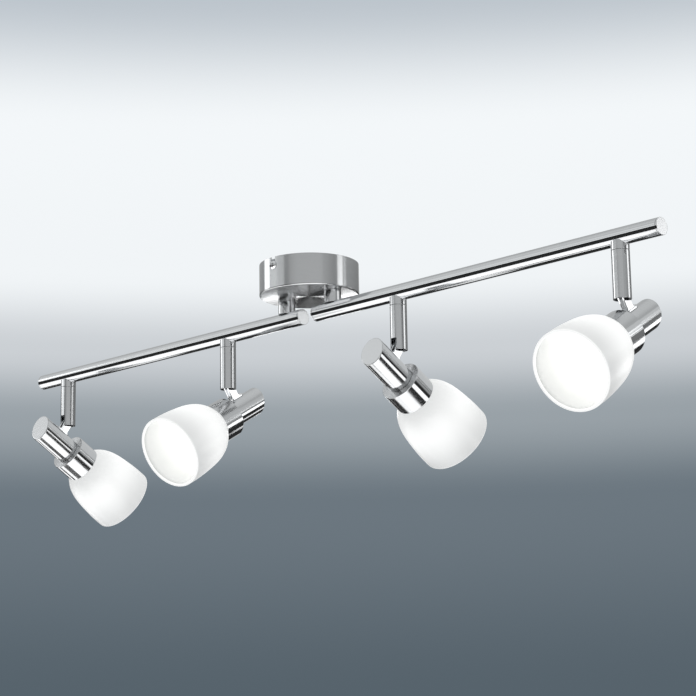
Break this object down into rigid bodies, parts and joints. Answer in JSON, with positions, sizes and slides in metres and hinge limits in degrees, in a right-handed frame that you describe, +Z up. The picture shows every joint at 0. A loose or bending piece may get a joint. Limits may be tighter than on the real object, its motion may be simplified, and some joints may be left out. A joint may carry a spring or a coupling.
{
  "type": "ceiling spotlight bar",
  "caption": "Ceiling spotlight bar: round canopy, swivelling arm tubes and tilting, turning spot heads with open opal glass shades.",
  "frame": {"origin": "centre of the mounting bracket's face that rests on the ceiling", "axes": "+X along the arm tubes towards the right arm, +Y across them, +Z up into the ceiling; everything hangs below z = 0"},
  "size_m": [0.8652, 0.1978, 0.216],
  "materials": {
    "satin_nickel": "fine-brushed satin nickel plate on steel tube and sheet",
    "chrome": "bright polished chrome plate",
    "zinc_steel": "dull zinc-plated steel",
    "opal_glass": "satin-etched opal white glass, lit from inside",
    "lamp_dome": "frosted lamp dome, lit",
    "holder_plastic": "heat-resistant off-white moulding",
    "terminal_plastic": "natural white moulding"
  },
  "bodies": {
    "canopy": {"canopy_cup": "satin_nickel", "mounting_bracket": "zinc_steel", "canopy_screw_front": "chrome", "canopy_screw_rear": "chrome", "terminal_block": "terminal_plastic"},
    "left_arm": {"left_arm_tube": "satin_nickel", "left_arm_inner_cap": "satin_nickel", "left_arm_outer_cap": "satin_nickel", "left_post": "satin_nickel", "left_post_nut": "zinc_steel", "spot_1_stem_stub": "satin_nickel", "spot_2_stem_stub": "satin_nickel"},
    "right_arm": {"right_arm_tube": "satin_nickel", "right_arm_inner_cap": "satin_nickel", "right_arm_outer_cap": "satin_nickel", "right_post": "satin_nickel", "right_post_nut": "zinc_steel", "spot_3_stem_stub": "satin_nickel", "spot_4_stem_stub": "satin_nickel"},
    "spot_1_stem": {"spot_1_stem_tube": "satin_nickel", "spot_1_hinge_lug": "zinc_steel", "spot_1_pivot_pin": "chrome"},
    "spot_1_head": {"spot_1_yoke": "chrome", "spot_1_sleeve": "satin_nickel", "spot_1_shade_cup": "satin_nickel", "spot_1_lamp_holder": "holder_plastic", "spot_1_shade_ring": "holder_plastic", "spot_1_glass_shade": "opal_glass", "spot_1_bulb": "lamp_dome"},
    "spot_2_stem": {"spot_2_stem_tube": "satin_nickel", "spot_2_hinge_lug": "zinc_steel", "spot_2_pivot_pin": "chrome"},
    "spot_2_head": {"spot_2_yoke": "chrome", "spot_2_sleeve": "satin_nickel", "spot_2_shade_cup": "satin_nickel", "spot_2_lamp_holder": "holder_plastic", "spot_2_shade_ring": "holder_plastic", "spot_2_glass_shade": "opal_glass", "spot_2_bulb": "lamp_dome"},
    "spot_3_stem": {"spot_3_stem_tube": "satin_nickel", "spot_3_hinge_lug": "zinc_steel", "spot_3_pivot_pin": "chrome"},
    "spot_3_head": {"spot_3_yoke": "chrome", "spot_3_sleeve": "satin_nickel", "spot_3_shade_cup": "satin_nickel", "spot_3_lamp_holder": "holder_plastic", "spot_3_shade_ring": "holder_plastic", "spot_3_glass_shade": "opal_glass", "spot_3_bulb": "lamp_dome"},
    "spot_4_stem": {"spot_4_stem_tube": "satin_nickel", "spot_4_hinge_lug": "zinc_steel", "spot_4_pivot_pin": "chrome"},
    "spot_4_head": {"spot_4_yoke": "chrome", "spot_4_sleeve": "satin_nickel", "spot_4_shade_cup": "satin_nickel", "spot_4_lamp_holder": "holder_plastic", "spot_4_shade_ring": "holder_plastic", "spot_4_glass_shade": "opal_glass", "spot_4_bulb": "lamp_dome"}
  },
  "joints": [
    {"name": "left_arm_swivel", "type": "hinge", "parent": "canopy", "child": "left_arm", "pos_m": [-0.0327, 0, -0.0325], "axis": [0, 0, 1], "range_deg": [-90, 90]},
    {"name": "right_arm_swivel", "type": "hinge", "parent": "canopy", "child": "right_arm", "pos_m": [0.0327, 0, -0.0325], "axis": [0, 0, 1], "range_deg": [-90, 90]},
    {"name": "spot_1_pan", "type": "hinge", "parent": "left_arm", "child": "spot_1_stem", "pos_m": [-0.3871, 0, -0.0645], "axis": [0, 0, 1], "range_deg": [-175, 175]},
    {"name": "spot_2_pan", "type": "hinge", "parent": "left_arm", "child": "spot_2_stem", "pos_m": [-0.1211, 0, -0.0645], "axis": [0, 0, 1], "range_deg": [-175, 175]},
    {"name": "spot_3_pan", "type": "hinge", "parent": "right_arm", "child": "spot_3_stem", "pos_m": [0.1211, 0, -0.0645], "axis": [0, 0, 1], "range_deg": [-175, 175]},
    {"name": "spot_4_pan", "type": "hinge", "parent": "right_arm", "child": "spot_4_stem", "pos_m": [0.3871, 0, -0.0645], "axis": [0, 0, 1], "range_deg": [-175, 175]},
    {"name": "spot_1_tilt", "type": "hinge", "parent": "spot_1_stem", "child": "spot_1_head", "pos_m": [-0.3871, 0, -0.1035], "axis": [1, 0.0087, 0], "range_deg": [-60, 30]},
    {"name": "spot_2_tilt", "type": "hinge", "parent": "spot_2_stem", "child": "spot_2_head", "pos_m": [-0.1211, 0, -0.1035], "axis": [-1, -0.0087, 0], "range_deg": [-60, 30]},
    {"name": "spot_3_tilt", "type": "hinge", "parent": "spot_3_stem", "child": "spot_3_head", "pos_m": [0.1211, 0, -0.1035], "axis": [0.9997, 0.0262, 0], "range_deg": [-60, 30]},
    {"name": "spot_4_tilt", "type": "hinge", "parent": "spot_4_stem", "child": "spot_4_head", "pos_m": [0.3871, 0, -0.1035], "axis": [-0.9994, -0.0349, 0], "range_deg": [-60, 30]}
  ]
}
